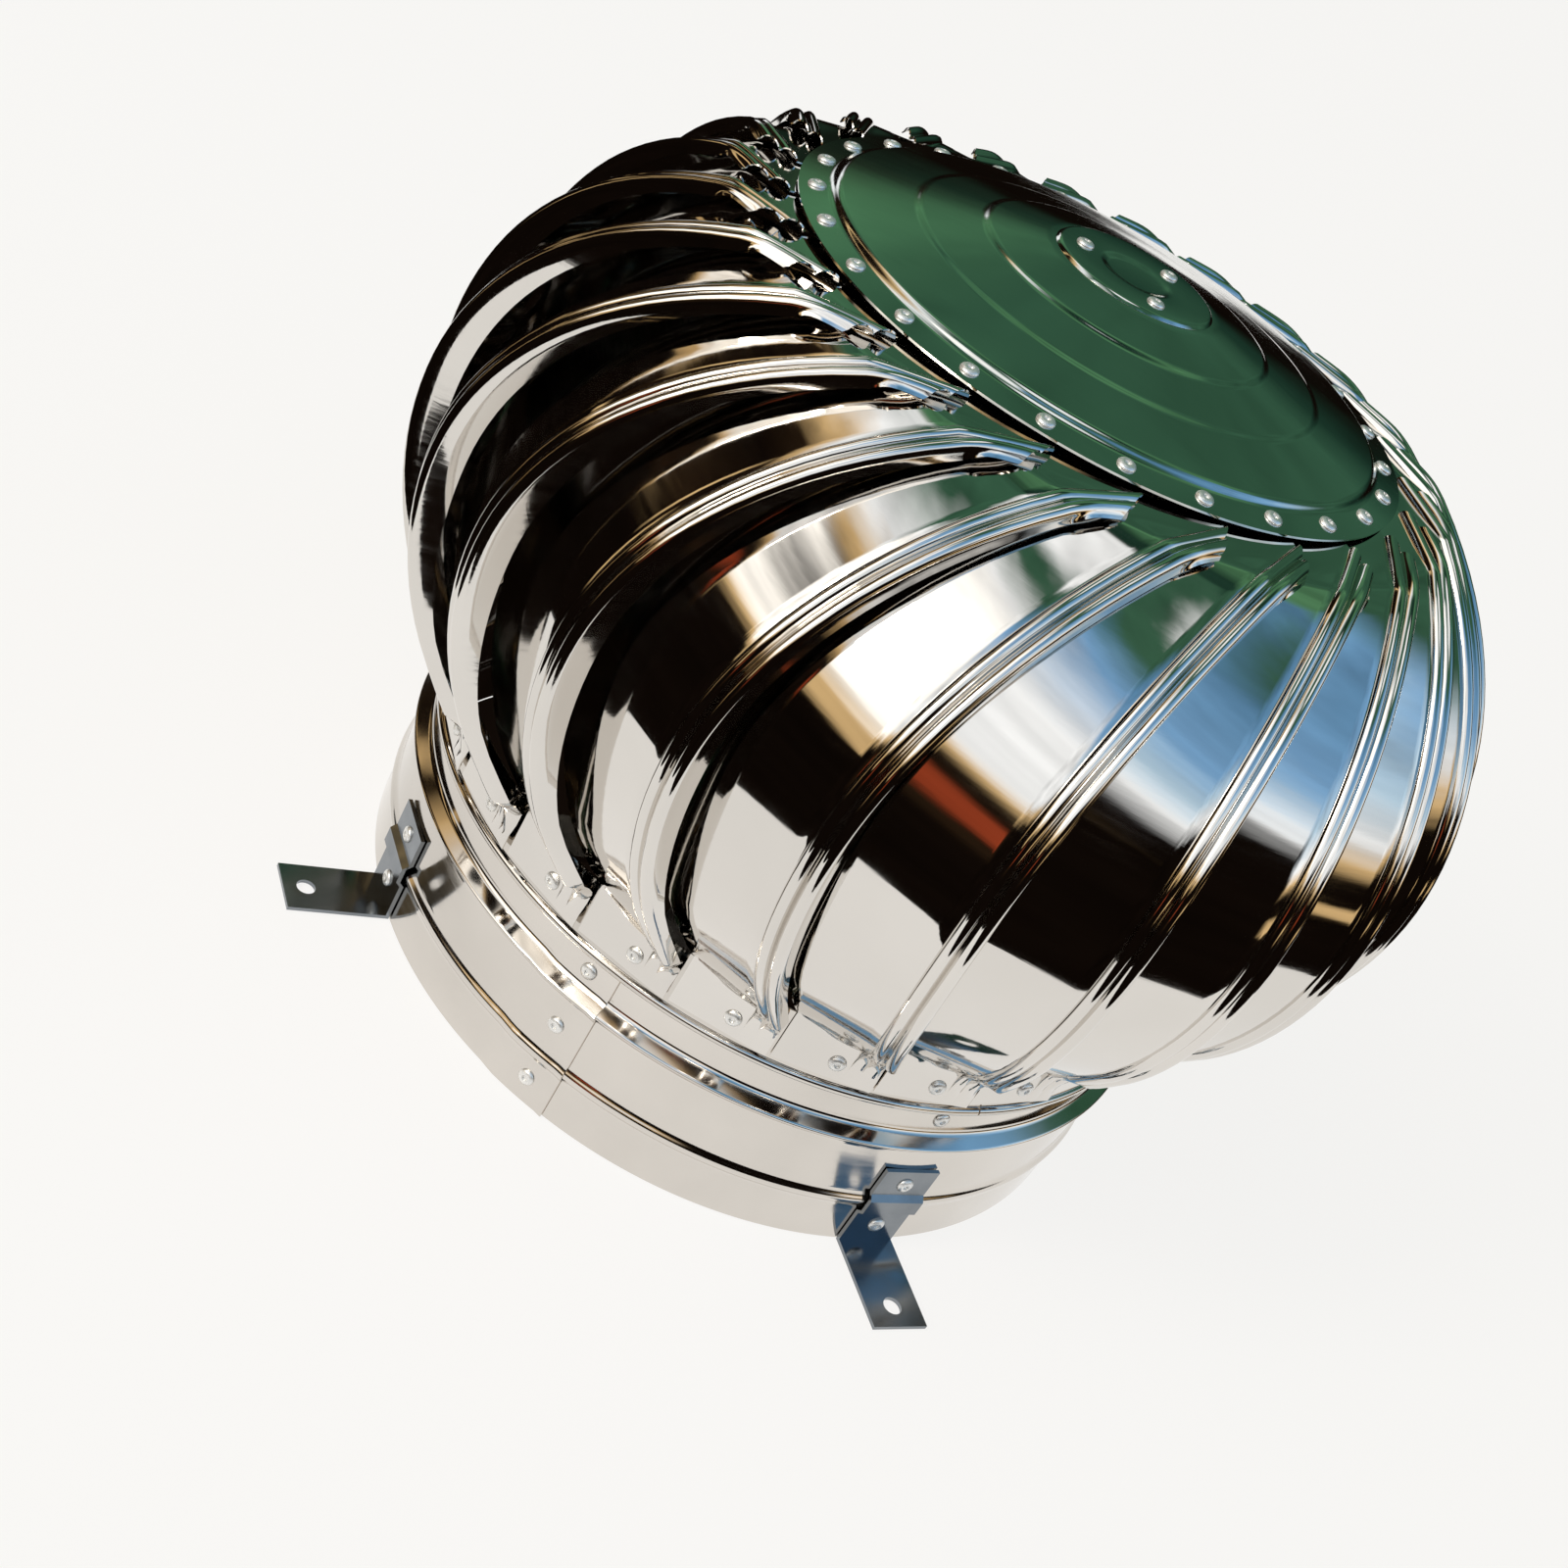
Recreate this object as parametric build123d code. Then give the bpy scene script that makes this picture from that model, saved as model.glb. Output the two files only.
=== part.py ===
from build123d import *
import math
import os

# Roof turbine ventilator: a fixed neck on four strap feet, and a bladed head that the wind turns
# on a fixed vertical spindle. Millimetres, Z up, origin at the centre of the neck's lower rim.

# Fixed neck, a ring of sheet with two rolled beads and a narrower top band
NECK_RADIUS = 150.0
NECK_SHEET = 0.8
LOWER_BEAD_Z = 21.5
LOWER_BEAD_RISE = 2.0
UPPER_BEAD_RISE = 3.8
BEAD_HALF_WIDTH = 3.2
TOP_BAND_INSET = 2.8
TOP_BAND_HEIGHT = 26.0
NECK_HEIGHT = 78.0

# Lap seam of the neck
SEAM_AZIMUTH = 266.6
SEAM_LAP = 22.0
SEAM_RIVET_INSET = 11.0
SEAM_RIVET_HEIGHT = 10.0
SEAM_RIVETS_ABOVE_BEADS = (15.2, 9.5)

# Strap feet
STRAP_COUNT = 4
FIRST_STRAP_AZIMUTH = 45.0
STRAP_WIDTH = 22.0
STRAP_THICKNESS = 1.5
STRAP_HEIGHT = 39.0
STRAP_LENGTH = 38.0
BOLT_HOLE_SETBACK = 8.5
BOLT_HOLE_RADIUS = 3.5

# Cross bars inside the neck, which hold the spindle
BAR_WIDTH = 22.0
BAR_THICKNESS = 2.5
BAR_TAB_HEIGHT = 14.0
LOWER_BAR_RISE = 19.0
LOWER_BAR_AZIMUTH = 45.0
UPPER_BAR_DIP = 9.0
UPPER_BAR_AZIMUTH = 135.0

# Spindle and its nuts
SPINDLE_RADIUS = 6.0
SPINDLE_STUB = 5.0
SHOULDER_RADIUS = 8.0
SHOULDER_HEIGHT = 4.0
NUT_ACROSS_FLATS = 18.0
NUT_HEIGHT = 7.0
THIN_NUT_HEIGHT = 4.0

# Shielded ball bearings, 12 x 28 x 8
BEARING_OUTER_RADIUS = 14.0
BEARING_WIDTH = 8.0
INNER_RACE_RADIUS = 9.0
UPPER_BEARING_DEPTH = 13.6

# Lower ring of the turning head, with a wired edge
RING_CLEARANCE = 1.2
RING_SHEET = 0.6
RING_OVERLAP = 10.4
RING_RIM = 0.4
WIRE_DIAMETER = 3.4

# Spider that carries the ring on the lower bearing
SPIDER_ARMS = 3
SPIDER_ARM_WIDTH = 20.0
SPIDER_THICKNESS = 2.0
SPIDER_CLEARANCE = 5.0
HUB_WALL = 3.0
BEARING_LIP = 2.5
SPIDER_TAB_HEIGHT = 10.0
FIRST_ARM_AZIMUTH = 30.0

# Crown, a shallow cone with three pressed steps
CROWN_INSET = 38.0
CROWN_SHEET = 0.8
CROWN_EDGE_Z = 289.2
CROWN_SLOPE = 0.188
CROWN_STEP_INSETS = (10.5, 37.0, 59.0)
CROWN_STEP_RISES = (2.2, 0.8, 1.2)
CROWN_STEP_WIDTH = 2.0
CROWN_FLAT_RADIUS = 30.5

# Hub plate on the crown and the bearing housing under it
HUB_PLATE_RADIUS = 29.0
HUB_PLATE_THICKNESS = 1.2
HUB_RIVET_COUNT = 3
HUB_RIVET_CIRCLE = 19.3
FIRST_HUB_RIVET_AZIMUTH = 66.8
HOUSING_FLANGE_RADIUS = 27.0
HOUSING_FLANGE_THICKNESS = 2.0

# Blades
BLADE_COUNT = 25
BLADE_SHEET = 0.5
FIRST_BLADE_AZIMUTH = 3.5
BELLY_OVERHANG = 42.8
BELLY_Z = 181.6
BELLY_TOP_MARGIN = 19.5
BELLY_TOP_DIP = 4.8
BELLY_STATIONS = (-0.54, -0.09, 0.27, 0.63, 0.999)
RIDGE_INSET = 12.0
LOWER_RIDGE_PLANE = 74.0
LOUVRE_DEPTH = 15.0
LOUVRE_TOP_LEAK = 6.0
RIDGE_CRESTS = ((2.6, 3.0), (5.4, 1.3), (8.3, 4.0))
RIDGE_END_MARGIN = 1.5
RIDGE_END_SLANT = 1.3
LIP_REACH = 11.0
LIP_DROP = 7.5

# Blade tabs, riveted to the ring below a fold
FOLD_MARGIN = 1.1
FOLD_STANDOFF = 7.5
TAB_SPAN = 9.6
TAB_SETBACK = 5.9
TAB_KNEE_DROP = 10.5

# Blade flaps, shingled under the crown
FLAP_INSET = 13.0
FLAP_SPAN = 14.9
FLAP_LIP_RISE = 0.8
SHINGLE_STEP = 1.1
FLAP_GAP = 0.95

# Rivets
RIVET_HEAD_RADIUS = 3.2
RIVET_HEAD_HEIGHT = 1.3
RIVET_CROWN_RADIUS = 1.8
RING_RIVET_HEIGHT = 12.9
RING_RIVET_STEP_BACK = 1.6
CROWN_RIVET_INSET = 6.0
CROWN_RIVET_STEP_BACK = 3.2
STRAP_RIVET_HEIGHTS = (10.0, 32.0)

# Clearances
SEAT_GAP = 0.05
RUNNING_FIT = 0.05
SLIDE_FIT = 0.02

PITCH = 360.0 / BLADE_COUNT
NEAR = 0.001

# Sizes that follow from the ones above
UPPER_BEAD_Z = NECK_HEIGHT - TOP_BAND_HEIGHT
TOP_BAND_RADIUS = NECK_RADIUS - TOP_BAND_INSET
STRAP_REACH = NECK_RADIUS + STRAP_LENGTH
BOLT_CIRCLE_RADIUS = STRAP_REACH - BOLT_HOLE_SETBACK
LOWER_BAR_Z = LOWER_BEAD_Z + LOWER_BAR_RISE
UPPER_BAR_Z = NECK_HEIGHT - UPPER_BAR_DIP
SPINDLE_BOTTOM_Z = LOWER_BAR_Z - BAR_THICKNESS - NUT_HEIGHT - SPINDLE_STUB
RING_RADIUS = TOP_BAND_RADIUS + RING_CLEARANCE + RING_SHEET
RING_BOTTOM_Z = NECK_HEIGHT - RING_OVERLAP
SPIDER_Z = NECK_HEIGHT + SPIDER_CLEARANCE
RING_TOP_Z = SPIDER_Z + SPIDER_TAB_HEIGHT + RING_RIM
LOWER_BEARING_Z = SPIDER_Z + SPIDER_THICKNESS / 2
CROWN_RADIUS = NECK_RADIUS - CROWN_INSET
UPPER_RIDGE_PLANE = CROWN_RADIUS - RIDGE_INSET
RIDGE_END_RADIUS = CROWN_RADIUS + RIDGE_END_MARGIN
FOLD_Z = RING_TOP_Z + FOLD_MARGIN
FOLD_RADIUS = RING_RADIUS + FOLD_STANDOFF
BELLY_RADIUS = NECK_RADIUS + BELLY_OVERHANG
FOLD_ANGLE = math.acos(FOLD_RADIUS / BELLY_RADIUS)
BELLY_DROP = (BELLY_Z - FOLD_Z) / math.sin(FOLD_ANGLE)
BELLY_TOP_RADIUS = CROWN_RADIUS + BELLY_TOP_MARGIN
BELLY_TOP_ANGLE = math.acos(BELLY_TOP_RADIUS / BELLY_RADIUS)
BELLY_RISE = (CROWN_EDGE_Z - BELLY_TOP_DIP - BELLY_Z) / math.sin(BELLY_TOP_ANGLE)
CROWN_RIVET_CIRCLE = CROWN_RADIUS - CROWN_RIVET_INSET


def polar(radius, azimuth, z):
    """A point from its distance to the axis, its direction in degrees and its height."""
    angle = math.radians(azimuth)
    return Vector(radius * math.cos(angle), radius * math.sin(angle), z)


def revolved(profile):
    """A ring from a closed outline of (radius, height) points."""
    outline = Plane.XZ * Polyline(*profile, close=True)
    return revolve(make_face(outline), Axis.Z)


def tube(inner_radius, outer_radius, bottom, top):
    section = [(inner_radius, bottom), (outer_radius, bottom), (outer_radius, top), (inner_radius, top)]
    return revolved(section)


def around(shape, azimuth):
    return shape.rotate(Axis.Z, azimuth)


def standing_bar(outline, width, azimuth):
    """A flat bar whose side view is an outline of (radius, height) points, turned to its azimuth."""
    side = Plane.XZ * Polyline(*outline, close=True)
    return around(extrude(make_face(side), width / 2, both=True), azimuth)


def rivet_head(place, direction):
    """A rivet head with eight sloping sides that sits on the surface at place and points along direction."""
    seat = Plane(origin=place, z_dir=direction)
    slope = math.degrees(math.atan((RIVET_HEAD_RADIUS - RIVET_CROWN_RADIUS) / RIVET_HEAD_HEIGHT))
    return seat * extrude(RegularPolygon(RIVET_HEAD_RADIUS, 8), RIVET_HEAD_HEIGHT, taper=slope)


def neck_outline():
    """Outer side of the neck wall from its lower rim to its top, as (radius, height) points."""
    return [
        (NECK_RADIUS, 0.0),
        (NECK_RADIUS, LOWER_BEAD_Z - BEAD_HALF_WIDTH),
        (NECK_RADIUS + LOWER_BEAD_RISE, LOWER_BEAD_Z),
        (NECK_RADIUS, LOWER_BEAD_Z + BEAD_HALF_WIDTH),
        (NECK_RADIUS, UPPER_BEAD_Z - BEAD_HALF_WIDTH),
        (NECK_RADIUS + UPPER_BEAD_RISE, UPPER_BEAD_Z),
        (TOP_BAND_RADIUS, UPPER_BEAD_Z + BEAD_HALF_WIDTH),
        (TOP_BAND_RADIUS, NECK_HEIGHT),
    ]


def shifted(outline, distance):
    return [(radius + distance, z) for radius, z in outline]


def base_collar():
    outer = neck_outline()
    wall = revolved(outer + shifted(outer, -NECK_SHEET)[::-1])
    lap_angle = math.degrees(SEAM_LAP / NECK_RADIUS)
    lap_profile = shifted(outer, NECK_SHEET) + outer[::-1]
    lap_face = make_face(Plane.XZ * Polyline(*lap_profile, close=True))
    lap = around(revolve(lap_face, Axis.Z, revolution_arc=-lap_angle), SEAM_AZIMUTH)
    return wall + lap


def seam_rivets():
    inset_angle = math.degrees(SEAM_RIVET_INSET / NECK_RADIUS)
    azimuth = SEAM_AZIMUTH - inset_angle
    above_beads = zip((LOWER_BEAD_Z, UPPER_BEAD_Z), SEAM_RIVETS_ABOVE_BEADS)
    heads = []
    for z in [SEAM_RIVET_HEIGHT] + [bead_z + rise for bead_z, rise in above_beads]:
        band = TOP_BAND_RADIUS if z > UPPER_BEAD_Z else NECK_RADIUS
        place = polar(band + NECK_SHEET + SEAT_GAP, azimuth, z)
        heads.append(rivet_head(place, polar(1, azimuth, 0)))
    return Compound(heads)


def mounting_strap(azimuth):
    """A strap foot: one leg up the outside of the neck and over its bead, one leg out to the bolt hole."""
    inside = NECK_RADIUS + SEAT_GAP
    over_bead = inside + LOWER_BEAD_RISE
    low = LOWER_BEAD_Z - BEAD_HALF_WIDTH
    high = LOWER_BEAD_Z + BEAD_HALF_WIDTH
    leg = [
        (inside, low - LOWER_BEAD_RISE),
        (over_bead, low),
        (over_bead, high),
        (inside, high + LOWER_BEAD_RISE),
        (inside, STRAP_HEIGHT),
    ]
    outer_leg = shifted(leg, STRAP_THICKNESS)
    foot = [(inside + STRAP_THICKNESS, STRAP_THICKNESS), (STRAP_REACH, STRAP_THICKNESS), (STRAP_REACH, 0.0)]
    outline = [(inside, 0.0)] + leg + outer_leg[::-1] + foot
    strap = standing_bar(outline, STRAP_WIDTH, azimuth)
    hole = Cylinder(BOLT_HOLE_RADIUS, 4 * STRAP_THICKNESS)
    return strap - Pos(polar(BOLT_CIRCLE_RADIUS, azimuth, 0)) * hole


def strap_azimuths():
    return [FIRST_STRAP_AZIMUTH + index * 360 / STRAP_COUNT for index in range(STRAP_COUNT)]


def strap_rivets():
    seat = NECK_RADIUS + SEAT_GAP + STRAP_THICKNESS + SEAT_GAP
    heads = []
    for azimuth in strap_azimuths():
        for z in STRAP_RIVET_HEIGHTS:
            heads.append(rivet_head(polar(seat, azimuth, z), polar(1, azimuth, 0)))
    return Compound(heads)


def cross_bar(wall_radius, top, azimuth):
    """A bar across the neck with its ends folded down against the wall and a hole for the spindle."""
    reach = math.sqrt(wall_radius**2 - (BAR_WIDTH / 2) ** 2) - SEAT_GAP
    inner = reach - BAR_THICKNESS
    bottom = top - BAR_THICKNESS
    tip = bottom - BAR_TAB_HEIGHT + BAR_THICKNESS
    half = [(inner, bottom), (inner, tip), (reach, tip), (reach, top)]
    outline = [(-across, z) for across, z in half] + half[::-1]
    hole = Pos(0, 0, top) * Cylinder(SPINDLE_RADIUS + SLIDE_FIT, 4 * BAR_THICKNESS)
    return standing_bar(outline, BAR_WIDTH, azimuth) - hole


def lower_cross_bar():
    return cross_bar(NECK_RADIUS - NECK_SHEET, LOWER_BAR_Z, LOWER_BAR_AZIMUTH)


def upper_cross_bar():
    return cross_bar(TOP_BAND_RADIUS - NECK_SHEET, UPPER_BAR_Z, UPPER_BAR_AZIMUTH)


def cross_bar_rivets():
    z = UPPER_BAR_Z - BAR_TAB_HEIGHT / 2
    heads = []
    for azimuth in (UPPER_BAR_AZIMUTH, UPPER_BAR_AZIMUTH + 180):
        heads.append(rivet_head(polar(TOP_BAND_RADIUS + SEAT_GAP, azimuth, z), polar(1, azimuth, 0)))
    return Compound(heads)


def upper_bearing_z():
    return crown_flat_z() - UPPER_BEARING_DEPTH


def spindle():
    top = upper_bearing_z() + BEARING_WIDTH + THIN_NUT_HEIGHT
    shoulder = upper_bearing_z() - SEAT_GAP
    return revolved([
        (0, SPINDLE_BOTTOM_Z),
        (SPINDLE_RADIUS, SPINDLE_BOTTOM_Z),
        (SPINDLE_RADIUS, shoulder - SHOULDER_HEIGHT),
        (SHOULDER_RADIUS, shoulder - SHOULDER_HEIGHT),
        (SHOULDER_RADIUS, shoulder),
        (SPINDLE_RADIUS, shoulder),
        (SPINDLE_RADIUS, top),
        (0, top),
    ])


def spindle_nuts():
    """Two nuts on each cross bar and a thin one that keeps the upper bearing on the spindle."""
    flat = RegularPolygon(NUT_ACROSS_FLATS / 2, 6, major_radius=False) - Circle(SPINDLE_RADIUS + SLIDE_FIT)
    nut = extrude(flat, NUT_HEIGHT)
    nuts = [Pos(0, 0, upper_bearing_z() + BEARING_WIDTH + SEAT_GAP) * extrude(flat, THIN_NUT_HEIGHT)]
    for bar_top in (LOWER_BAR_Z, UPPER_BAR_Z):
        nuts.append(Pos(0, 0, bar_top + SEAT_GAP) * nut)
        nuts.append(Pos(0, 0, bar_top - BAR_THICKNESS - SEAT_GAP - NUT_HEIGHT) * nut)
    return Compound(nuts)


def races(inner_radius, outer_radius):
    """The same race of the lower and of the upper bearing."""
    bottoms = (LOWER_BEARING_Z, upper_bearing_z())
    return Compound([tube(inner_radius, outer_radius, z, z + BEARING_WIDTH) for z in bottoms])


def bearing_inner_races():
    return races(SPINDLE_RADIUS + SLIDE_FIT, INNER_RACE_RADIUS)


def bearing_outer_races():
    """Outer races with their shields, which close over the inner races with a running fit."""
    return races(INNER_RACE_RADIUS + RUNNING_FIT, BEARING_OUTER_RADIUS)


def rotor_ring():
    """The ring that the blade tabs are riveted to, its lower edge rolled outwards round a wire."""
    inner = RING_RADIUS - RING_SHEET
    roll = RING_BOTTOM_Z + WIRE_DIAMETER
    swell = RING_RADIUS + WIRE_DIAMETER / 2
    return revolved([
        (inner, RING_BOTTOM_Z),
        (swell - WIRE_DIAMETER / 4, RING_BOTTOM_Z),
        (swell, RING_BOTTOM_Z + WIRE_DIAMETER / 4),
        (swell, roll - WIRE_DIAMETER / 4),
        (RING_RADIUS, roll),
        (RING_RADIUS, RING_TOP_Z),
        (inner, RING_TOP_Z),
    ])


def arm_reach():
    """Outer face of a folded arm end, whose two edges just clear the ring."""
    wall = RING_RADIUS - RING_SHEET
    return math.sqrt(wall**2 - (SPIDER_ARM_WIDTH / 2) ** 2) - SEAT_GAP


def rotor_spider():
    """A hub for the lower bearing on arms that reach the ring."""
    bore = BEARING_OUTER_RADIUS + SLIDE_FIT
    lip = bore - BEARING_LIP
    hub_radius = BEARING_OUTER_RADIUS + HUB_WALL
    seat = LOWER_BEARING_Z - SEAT_GAP
    hub_top = LOWER_BEARING_Z + BEARING_WIDTH
    hub = revolved([
        (lip, seat - BEARING_LIP),
        (hub_radius, seat - BEARING_LIP),
        (hub_radius, hub_top),
        (bore, hub_top),
        (bore, seat),
        (lip, seat),
    ])
    reach = arm_reach()
    inner = reach - SPIDER_THICKNESS
    root = (bore + hub_radius) / 2
    arm = [
        (root, SPIDER_Z),
        (reach, SPIDER_Z),
        (reach, SPIDER_Z + SPIDER_TAB_HEIGHT),
        (inner, SPIDER_Z + SPIDER_TAB_HEIGHT),
        (inner, SPIDER_Z + SPIDER_THICKNESS),
        (root, SPIDER_Z + SPIDER_THICKNESS),
    ]
    core = Pos(0, 0, SPIDER_Z) * Cylinder(bore, 4 * BEARING_WIDTH)
    spider = hub
    for azimuth in arm_azimuths():
        spider = spider + (standing_bar(arm, SPIDER_ARM_WIDTH, azimuth) - core)
    return spider


def arm_azimuths():
    return [FIRST_ARM_AZIMUTH + index * 360 / SPIDER_ARMS for index in range(SPIDER_ARMS)]


def spider_rivets():
    """Rivets whose heads lie inside, on the folded end of each arm."""
    seat = arm_reach() - SPIDER_THICKNESS - SEAT_GAP
    z = SPIDER_Z + (SPIDER_THICKNESS + SPIDER_TAB_HEIGHT) / 2
    places = [(polar(seat, azimuth, z), polar(-1, azimuth, 0)) for azimuth in arm_azimuths()]
    return Compound([rivet_head(place, inward) for place, inward in places])


def crown_top():
    """Upper side of the crown from its rim inwards, as (radius, height) points."""
    points = [(CROWN_RADIUS, CROWN_EDGE_Z)]
    for inset, rise in zip(CROWN_STEP_INSETS, CROWN_STEP_RISES):
        step_radius = CROWN_RADIUS - inset
        radius, z = points[-1]
        foot_z = z + (radius - step_radius) * CROWN_SLOPE
        points.append((step_radius, foot_z))
        points.append((step_radius - CROWN_STEP_WIDTH, foot_z + rise))
    radius, z = points[-1]
    points.append((CROWN_FLAT_RADIUS, z + (radius - CROWN_FLAT_RADIUS) * CROWN_SLOPE))
    return points


def crown_flat_z():
    return crown_top()[-1][1]


def crown_plate():
    top = crown_top()
    top.append((0.0, crown_flat_z()))
    under = [(radius, z - CROWN_SHEET) for radius, z in top]
    return revolved(top + under[::-1])


def crown_rivets():
    slope = math.atan(CROWN_SLOPE)
    z = CROWN_EDGE_Z + (CROWN_RADIUS - CROWN_RIVET_CIRCLE) * CROWN_SLOPE + SEAT_GAP
    heads = []
    for index in range(BLADE_COUNT):
        azimuth = FIRST_BLADE_AZIMUTH + flap_twist() - CROWN_RIVET_STEP_BACK + index * PITCH
        direction = polar(math.sin(slope), azimuth, math.cos(slope))
        heads.append(rivet_head(polar(CROWN_RIVET_CIRCLE, azimuth, z), direction))
    return Compound(heads)


def hub_plate():
    bottom = crown_flat_z() + SEAT_GAP
    top = bottom + HUB_PLATE_THICKNESS
    rim = HUB_PLATE_RADIUS - HUB_PLATE_THICKNESS
    return revolved([(0, bottom), (HUB_PLATE_RADIUS, bottom), (rim, top), (0, top)])


def hub_rivets():
    z = crown_flat_z() + SEAT_GAP + HUB_PLATE_THICKNESS + SEAT_GAP
    heads = []
    for index in range(HUB_RIVET_COUNT):
        azimuth = FIRST_HUB_RIVET_AZIMUTH + index * 360 / HUB_RIVET_COUNT
        heads.append(rivet_head(polar(HUB_RIVET_CIRCLE, azimuth, z), Vector(0, 0, 1)))
    return Compound(heads)


def upper_bearing_housing():
    """A flanged cup under the crown that rests on the outer race of the upper bearing."""
    top = crown_flat_z() - CROWN_SHEET - SEAT_GAP
    flange = top - HOUSING_FLANGE_THICKNESS
    bore = BEARING_OUTER_RADIUS + SLIDE_FIT
    body = BEARING_OUTER_RADIUS + HUB_WALL
    bottom = upper_bearing_z()
    seat = bottom + BEARING_WIDTH + SEAT_GAP
    return revolved([
        (bore, bottom),
        (body, bottom),
        (body, flange),
        (HOUSING_FLANGE_RADIUS, flange),
        (HOUSING_FLANGE_RADIUS, top),
        (bore - BEARING_LIP, top),
        (bore - BEARING_LIP, seat),
        (bore, seat),
    ])


def blade_profile(width, rise, drop):
    """Outer side of a blade across its width, as (across, height) points from the foot of its ridge."""
    crests = [(across, height * rise) for across, height in RIDGE_CRESTS]
    return [(-width, 0.0), (0.0, 0.0)] + crests + [(LIP_REACH, -drop)]


def underside(outline, sheet):
    """The other side of a sheet, mitred at each bend of its outline."""
    points = [Vector(across, height) for across, height in outline]
    inward = []
    for start, end in zip(points, points[1:]):
        along = (end - start).normalized()
        inward.append(Vector(along.Y, -along.X))
    before = [inward[0]] + inward
    after = inward + [inward[-1]]
    moved = [p + (a + b) * (sheet / (1 + a.dot(b))) for p, a, b in zip(points, before, after)]
    return [(point.X, point.Y) for point in moved]


def blade_section(foot, left, aside, outward, rise, drop):
    """Corners of the sheet across a blade: the panel from left to foot, then the ridge that goes aside."""
    panel = foot - left
    outer = blade_profile(panel.length, rise, drop)
    corners = []
    for reach, height in outer + underside(outer, BLADE_SHEET)[::-1]:
        way = panel.normalized() if reach < -BLADE_SHEET else aside
        corners.append(foot + way * reach + outward.normalized() * height)
    return corners


def ridge_twist(radius, plane):
    """Azimuth that a ridge has gained at a radius when it runs in an upright plane off the axis."""
    return math.degrees(math.acos(plane / BELLY_RADIUS) - math.acos(plane / radius))


def flap_twist():
    return ridge_twist(RIDGE_END_RADIUS, UPPER_RIDGE_PLANE)


def belly_foot(turn):
    """Foot of the ridge at an angle up or down from the widest place of the belly."""
    rising = turn > 0
    radius = BELLY_RADIUS * math.cos(turn)
    height = BELLY_RISE if rising else BELLY_DROP
    twist = ridge_twist(radius, UPPER_RIDGE_PLANE if rising else LOWER_RIDGE_PLANE)
    return radius, twist, BELLY_Z + height * math.sin(turn)


def belly_section(station):
    """Section of the belly at a station, from -1 at the fold to 1 where the flap begins."""
    rising = station > 0
    turn = station * (BELLY_TOP_ANGLE if rising else FOLD_ANGLE)
    end_span = FLAP_SPAN if rising else TAB_SPAN
    closed = BELLY_TOP_ANGLE + math.radians(LOUVRE_TOP_LEAK) if rising else FOLD_ANGLE
    radius, twist, z = belly_foot(turn)
    share = math.cos(math.pi / 2 * turn / closed)
    depth = SHINGLE_STEP + (LOUVRE_DEPTH - SHINGLE_STEP) * share
    span = end_span + (PITCH - end_span) * share
    height = BELLY_RISE if rising else BELLY_DROP
    steep = math.sin(turn) / height
    level = math.cos(turn) / BELLY_RADIUS
    outward = polar(level, twist, steep)
    along = polar(*belly_foot(turn + NEAR)) - polar(*belly_foot(turn - NEAR))
    left = polar(radius, twist - span, z) - polar(level, twist - span, steep).normalized() * depth
    drop = LIP_DROP * share**2
    aside = along.cross(outward).normalized()
    return blade_section(polar(radius, twist, z), left, aside, outward, 1.0, drop)


def tab_radius():
    """Outer face of a blade tab at its two edges, where its flat back just clears the ring."""
    return (RING_RADIUS + SEAT_GAP + BLADE_SHEET) / math.cos(math.radians(TAB_SPAN / 2))


def ring_twist():
    return ridge_twist(FOLD_RADIUS, LOWER_RIDGE_PLANE)


def tab_section(foot_radius, z, rise, drop):
    twist = ring_twist()
    outward = polar(1, twist - TAB_SPAN / 2, 0)
    foot = polar(foot_radius, twist, z)
    left = polar(tab_radius(), twist - TAB_SPAN, z)
    return blade_section(foot, left, (foot - left).normalized(), outward, rise, drop)


def flap_foot(radius):
    """Foot of the ridge where the blade flattens out to pass under the crown."""
    z = CROWN_EDGE_Z - CROWN_SHEET - FLAP_GAP + (CROWN_RADIUS - radius) * CROWN_SLOPE
    return radius, ridge_twist(max(radius, RIDGE_END_RADIUS), UPPER_RIDGE_PLANE), z


def flap_section(radius):
    """Section of the flattened end, one edge shingled under its neighbour and the ridge cut at a slant."""
    radius, twist, z = flap_foot(radius)
    left = polar(radius, twist - FLAP_SPAN, z - SHINGLE_STEP)
    slope = math.atan(CROWN_SLOPE)
    outward = polar(math.sin(slope), twist, math.cos(slope))
    along = (polar(*flap_foot(RIDGE_END_RADIUS)) - polar(*flap_foot(BELLY_TOP_RADIUS))).normalized()
    aside = along.cross(outward).normalized() - along * RIDGE_END_SLANT
    return blade_section(polar(radius, twist, z), left, aside, outward, 1.0, -FLAP_LIP_RISE)


def facet(*corners):
    return make_face(Polyline(*corners, close=True))


def joined(sections):
    """Facets between the loops of corners along a sheet, split at the shorter way across."""
    faces = []
    for below, above in zip(sections, sections[1:]):
        for index in range(len(below)):
            a, b, c, d = below[index - 1], below[index], above[index], above[index - 1]
            if (c - a).length < (d - b).length:
                faces += [facet(a, b, c), facet(a, c, d)]
            else:
                faces += [facet(a, b, d), facet(b, c, d)]
    return faces


def end_facets(section):
    """Facets that close the end of a sheet, from its outer to its under side."""
    half = len(section) // 2
    outer = section[:half]
    under = section[half:][::-1]
    faces = []
    for index in range(half - 1):
        faces.append(facet(outer[index], outer[index + 1], under[index]))
        faces.append(facet(outer[index + 1], under[index + 1], under[index]))
    return faces


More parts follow.
